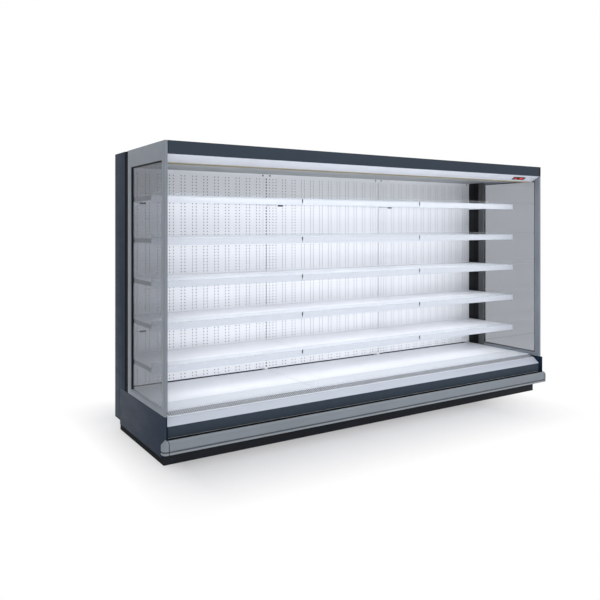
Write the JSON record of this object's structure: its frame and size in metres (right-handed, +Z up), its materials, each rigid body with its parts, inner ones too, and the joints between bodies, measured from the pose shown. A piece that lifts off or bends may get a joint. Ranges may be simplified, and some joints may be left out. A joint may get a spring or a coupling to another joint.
{
  "type": "open multideck display fridge",
  "caption": "Long open-front refrigerated display cabinet with tilting hooked shelves, lift-off deck trays, glazed ends, air curtain canopy and front bumper.",
  "frame": {"origin": "centre of the footprint at floor level", "axes": "+X along the cabinet to the shopper's right, -Y faces the shopper, +Z up"},
  "size_m": [3.85, 1.13, 2.16],
  "materials": {
    "cabinet_paint": "fine satin powder coat, anthracite",
    "frame_grey": "satin grey anodised profile",
    "glass": "clear toughened glass",
    "black_rubber": "matt black seal",
    "black_plastic": "matt black trim",
    "plinth_black": "satin black paint",
    "insulated_shell": "white skinned foam panel",
    "white_paint": "gloss white powder coat",
    "pale_ledge": "pale satin powder coat",
    "bumper_grey": "grey impact plastic",
    "galvanised": "galvanised steel",
    "outlet_beige": "honeycomb plastic, warm grey",
    "lamp_diffuser": "opal diffuser",
    "ceiling_paint": "satin grey paint",
    "clear_plastic": "clear acrylic",
    "coil_aluminium": "mill finish fins",
    "fan_plastic": "black moulded plastic",
    "motor_paint": "black enamelled motor",
    "pipe_copper": "copper tube",
    "drain_plastic": "grey drain plastic",
    "box_plastic": "pale grey terminal box",
    "display_black": "black window with red digits",
    "screw_steel": "zinc plated screws"
  },
  "bodies": {
    "cabinet": {"base_frame": "galvanised", "levelling_feet": "black_rubber", "plinth_panels": "plinth_black", "insulated_tub": "insulated_shell", "back_wall": "insulated_shell", "roof_panel": "insulated_shell", "end_panel_left": "cabinet_paint", "end_panel_right": "cabinet_paint", "end_column_left": "cabinet_paint", "end_column_right": "cabinet_paint", "glass_frame_left": "frame_grey", "glass_frame_right": "frame_grey", "end_glass_left": "glass", "end_glass_right": "glass", "end_trim_strips": "black_plastic", "glass_gaskets": "black_rubber", "front_panel": "cabinet_paint", "front_ledge": "pale_ledge", "return_air_grille": "white_paint", "bumper": "bumper_grey", "bumper_end_caps": "bumper_grey", "canopy_fascia": "cabinet_paint", "canopy_light_panel": "pale_ledge", "temperature_display": "display_black", "air_outlet_honeycomb": "outlet_beige", "canopy_lamp": "lamp_diffuser", "ceiling_panel": "ceiling_paint", "canopy_brackets": "galvanised", "uprights": "white_paint", "back_panels": "white_paint", "panel_screws": "screw_steel", "deck_supports": "galvanised", "deck_stopper": "clear_plastic", "fan_plate": "galvanised", "fan_motors": "motor_paint", "evaporator": "coil_aluminium", "drain_pipe": "drain_plastic", "refrigerant_lines": "pipe_copper", "electrical_box": "box_plastic"},
    "shelf_row1_bay1": {"shelf_row1_bay1": "white_paint"},
    "shelf_row2_bay1": {"shelf_row2_bay1": "white_paint"},
    "shelf_row3_bay1": {"shelf_row3_bay1": "white_paint"},
    "shelf_row4_bay1": {"shelf_row4_bay1": "white_paint"},
    "shelf_row5_bay1": {"shelf_row5_bay1": "white_paint"},
    "deck_pan_bay1": {"deck_pan_bay1": "white_paint"},
    "fan_rotor_bay1": {"fan_rotor_bay1": "fan_plastic"},
    "shelf_row1_bay2": {"shelf_row1_bay2": "white_paint"},
    "shelf_row2_bay2": {"shelf_row2_bay2": "white_paint"},
    "shelf_row3_bay2": {"shelf_row3_bay2": "white_paint"},
    "shelf_row4_bay2": {"shelf_row4_bay2": "white_paint"},
    "shelf_row5_bay2": {"shelf_row5_bay2": "white_paint"},
    "deck_pan_bay2": {"deck_pan_bay2": "white_paint"},
    "fan_rotor_bay2": {"fan_rotor_bay2": "fan_plastic"},
    "shelf_row1_bay3": {"shelf_row1_bay3": "white_paint"},
    "shelf_row2_bay3": {"shelf_row2_bay3": "white_paint"},
    "shelf_row3_bay3": {"shelf_row3_bay3": "white_paint"},
    "shelf_row4_bay3": {"shelf_row4_bay3": "white_paint"},
    "shelf_row5_bay3": {"shelf_row5_bay3": "white_paint"},
    "deck_pan_bay3": {"deck_pan_bay3": "white_paint"},
    "fan_rotor_bay3": {"fan_rotor_bay3": "fan_plastic"}
  },
  "joints": [
    {"name": "shelf_row1_bay1_tilt", "type": "hinge", "parent": "cabinet", "child": "shelf_row1_bay1", "pos_m": [-1.25, 0.3807, 1.806], "axis": [-1, 0, 0], "range_deg": [0, 12]},
    {"name": "shelf_row2_bay1_tilt", "type": "hinge", "parent": "cabinet", "child": "shelf_row2_bay1", "pos_m": [-1.25, 0.3807, 1.506], "axis": [-1, 0, 0], "range_deg": [0, 12]},
    {"name": "shelf_row3_bay1_tilt", "type": "hinge", "parent": "cabinet", "child": "shelf_row3_bay1", "pos_m": [-1.25, 0.3807, 1.206], "axis": [-1, 0, 0], "range_deg": [0, 12]},
    {"name": "shelf_row4_bay1_tilt", "type": "hinge", "parent": "cabinet", "child": "shelf_row4_bay1", "pos_m": [-1.25, 0.3807, 0.906], "axis": [-1, 0, 0], "range_deg": [0, 12]},
    {"name": "shelf_row5_bay1_tilt", "type": "hinge", "parent": "cabinet", "child": "shelf_row5_bay1", "pos_m": [-1.25, 0.3807, 0.606], "axis": [-1, 0, 0], "range_deg": [0, 12]},
    {"name": "deck_pan_bay1_lift", "type": "slide", "parent": "cabinet", "child": "deck_pan_bay1", "axis": [0, 0, 1], "range_m": [0, 0.12]},
    {"name": "fan_rotor_bay1_spin", "type": "hinge", "parent": "cabinet", "child": "fan_rotor_bay1", "pos_m": [-1.25, -0.2235, 0.247], "axis": [0, 0.7071, -0.7071], "continuous": true},
    {"name": "shelf_row1_bay2_tilt", "type": "hinge", "parent": "cabinet", "child": "shelf_row1_bay2", "pos_m": [0, 0.3807, 1.806], "axis": [-1, 0, 0], "range_deg": [0, 12]},
    {"name": "shelf_row2_bay2_tilt", "type": "hinge", "parent": "cabinet", "child": "shelf_row2_bay2", "pos_m": [0, 0.3807, 1.506], "axis": [-1, 0, 0], "range_deg": [0, 12]},
    {"name": "shelf_row3_bay2_tilt", "type": "hinge", "parent": "cabinet", "child": "shelf_row3_bay2", "pos_m": [0, 0.3807, 1.206], "axis": [-1, 0, 0], "range_deg": [0, 12]},
    {"name": "shelf_row4_bay2_tilt", "type": "hinge", "parent": "cabinet", "child": "shelf_row4_bay2", "pos_m": [0, 0.3807, 0.906], "axis": [-1, 0, 0], "range_deg": [0, 12]},
    {"name": "shelf_row5_bay2_tilt", "type": "hinge", "parent": "cabinet", "child": "shelf_row5_bay2", "pos_m": [0, 0.3807, 0.606], "axis": [-1, 0, 0], "range_deg": [0, 12]},
    {"name": "deck_pan_bay2_lift", "type": "slide", "parent": "cabinet", "child": "deck_pan_bay2", "axis": [0, 0, 1], "range_m": [0, 0.12]},
    {"name": "fan_rotor_bay2_spin", "type": "hinge", "parent": "cabinet", "child": "fan_rotor_bay2", "pos_m": [0, -0.2235, 0.247], "axis": [0, 0.7071, -0.7071], "continuous": true},
    {"name": "shelf_row1_bay3_tilt", "type": "hinge", "parent": "cabinet", "child": "shelf_row1_bay3", "pos_m": [1.25, 0.3807, 1.806], "axis": [-1, 0, 0], "range_deg": [0, 12]},
    {"name": "shelf_row2_bay3_tilt", "type": "hinge", "parent": "cabinet", "child": "shelf_row2_bay3", "pos_m": [1.25, 0.3807, 1.506], "axis": [-1, 0, 0], "range_deg": [0, 12]},
    {"name": "shelf_row3_bay3_tilt", "type": "hinge", "parent": "cabinet", "child": "shelf_row3_bay3", "pos_m": [1.25, 0.3807, 1.206], "axis": [-1, 0, 0], "range_deg": [0, 12]},
    {"name": "shelf_row4_bay3_tilt", "type": "hinge", "parent": "cabinet", "child": "shelf_row4_bay3", "pos_m": [1.25, 0.3807, 0.906], "axis": [-1, 0, 0], "range_deg": [0, 12]},
    {"name": "shelf_row5_bay3_tilt", "type": "hinge", "parent": "cabinet", "child": "shelf_row5_bay3", "pos_m": [1.25, 0.3807, 0.606], "axis": [-1, 0, 0], "range_deg": [0, 12]},
    {"name": "deck_pan_bay3_lift", "type": "slide", "parent": "cabinet", "child": "deck_pan_bay3", "axis": [0, 0, 1], "range_m": [0, 0.12]},
    {"name": "fan_rotor_bay3_spin", "type": "hinge", "parent": "cabinet", "child": "fan_rotor_bay3", "pos_m": [1.25, -0.2235, 0.247], "axis": [0, 0.7071, -0.7071], "continuous": true}
  ]
}
